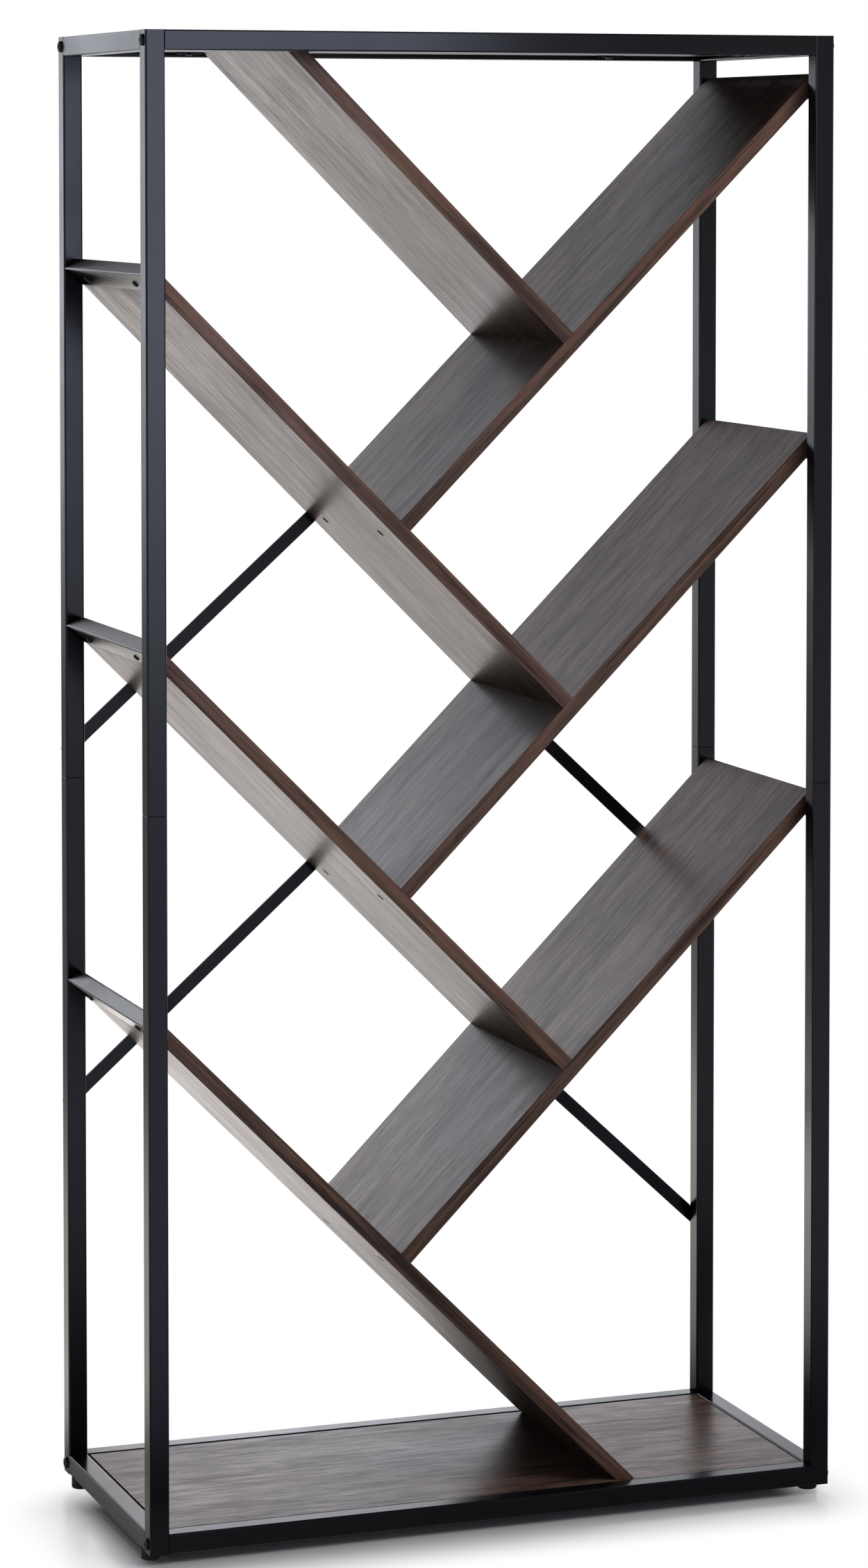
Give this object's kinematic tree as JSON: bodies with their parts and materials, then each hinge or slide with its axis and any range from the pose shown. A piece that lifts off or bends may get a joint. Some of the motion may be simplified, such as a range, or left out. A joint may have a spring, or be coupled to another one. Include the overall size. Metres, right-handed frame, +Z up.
{
  "type": "zigzag bookshelf",
  "caption": "Free-standing zigzag bookshelf: sloping wooden boards set square to each other in a black square-tube frame on levelling feet that screw in and out.",
  "frame": {"origin": "on the floor, under the middle of the unit", "axes": "+X to the right seen from the front, +Y to the rear, +Z up"},
  "size_m": [0.806, 0.3538, 1.65],
  "materials": {
    "black_frame": "black satin powder coat",
    "board": "dark walnut-look melamine, satin",
    "edge_band": "dark brown edge banding",
    "black_screw": "black zinc",
    "zinc_steel": "zinc plated",
    "black_plastic": "moulded"
  },
  "bodies": {
    "frame": {"base_board": "board", "base_board_tabs": "black_frame", "brace_screws": "black_screw", "bracket_screws": "black_screw", "corner_bolts": "black_screw", "down_board_1": "board", "down_board_2": "board", "down_board_3": "board", "down_board_4": "board", "end_screws": "black_screw", "foot_nuts": "zinc_steel", "front_base_rail": "black_frame", "front_edge_bands": "edge_band", "front_left_lower_post": "black_frame", "front_left_upper_post": "black_frame", "front_right_lower_post": "black_frame", "front_right_upper_post": "black_frame", "front_top_rail": "black_frame", "joint_screws": "black_screw", "left_base_rail": "black_frame", "left_brace_1": "black_frame", "left_brace_2": "black_frame", "left_bracket_1": "black_frame", "left_bracket_2": "black_frame", "left_bracket_3": "black_frame", "left_top_rail": "black_frame", "lower_post_caps": "black_plastic", "rail_end_blocks": "zinc_steel", "rear_base_rail": "black_frame", "rear_edge_bands": "edge_band", "rear_left_lower_post": "black_frame", "rear_left_upper_post": "black_frame", "rear_right_lower_post": "black_frame", "rear_right_upper_post": "black_frame", "rear_top_rail": "black_frame", "right_base_rail": "black_frame", "right_brace_1": "black_frame", "right_brace_2": "black_frame", "right_bracket_1": "black_frame", "right_bracket_2": "black_frame", "right_bracket_3": "black_frame", "right_top_rail": "black_frame", "splice_sleeves": "zinc_steel", "tab_screws": "black_screw", "top_board": "board", "top_board_tabs": "black_frame", "up_board_1": "board", "up_board_2": "board", "up_board_3": "board", "upper_post_caps": "black_plastic"},
    "front_left_foot": {"front_left_foot": "black_plastic"},
    "front_left_stud": {"front_left_foot_stud": "zinc_steel"},
    "front_right_foot": {"front_right_foot": "black_plastic"},
    "front_right_stud": {"front_right_foot_stud": "zinc_steel"},
    "rear_left_foot": {"rear_left_foot": "black_plastic"},
    "rear_left_stud": {"rear_left_foot_stud": "zinc_steel"},
    "rear_right_foot": {"rear_right_foot": "black_plastic"},
    "rear_right_stud": {"rear_right_foot_stud": "zinc_steel"}
  },
  "joints": [
    {"name": "front_left_foot_travel", "type": "slide", "parent": "frame", "child": "front_left_foot", "axis": [0, 0, -1], "range_m": [0, 0.0075]},
    {"name": "front_left_stud_turn", "type": "hinge", "parent": "front_left_foot", "child": "front_left_stud", "pos_m": [-0.389, -0.141, 0.02], "axis": [0, 0, -1], "range_deg": [0, 2160]},
    {"name": "front_right_foot_travel", "type": "slide", "parent": "frame", "child": "front_right_foot", "axis": [0, 0, -1], "range_m": [0, 0.0075]},
    {"name": "front_right_stud_turn", "type": "hinge", "parent": "front_right_foot", "child": "front_right_stud", "pos_m": [0.389, -0.141, 0.02], "axis": [0, 0, -1], "range_deg": [0, 2160]},
    {"name": "rear_left_foot_travel", "type": "slide", "parent": "frame", "child": "rear_left_foot", "axis": [0, 0, -1], "range_m": [0, 0.0075]},
    {"name": "rear_left_stud_turn", "type": "hinge", "parent": "rear_left_foot", "child": "rear_left_stud", "pos_m": [-0.389, 0.141, 0.02], "axis": [0, 0, -1], "range_deg": [0, 2160]},
    {"name": "rear_right_foot_travel", "type": "slide", "parent": "frame", "child": "rear_right_foot", "axis": [0, 0, -1], "range_m": [0, 0.0075]},
    {"name": "rear_right_stud_turn", "type": "hinge", "parent": "rear_right_foot", "child": "rear_right_stud", "pos_m": [0.389, 0.141, 0.02], "axis": [0, 0, -1], "range_deg": [0, 2160]}
  ],
  "couplings": [
    {"joint": "front_left_foot_travel", "follows": "front_left_stud_turn", "m_per_rad": 0.00019894},
    {"joint": "front_right_foot_travel", "follows": "front_right_stud_turn", "m_per_rad": 0.00019894},
    {"joint": "rear_left_foot_travel", "follows": "rear_left_stud_turn", "m_per_rad": 0.00019894},
    {"joint": "rear_right_foot_travel", "follows": "rear_right_stud_turn", "m_per_rad": 0.00019894}
  ]
}
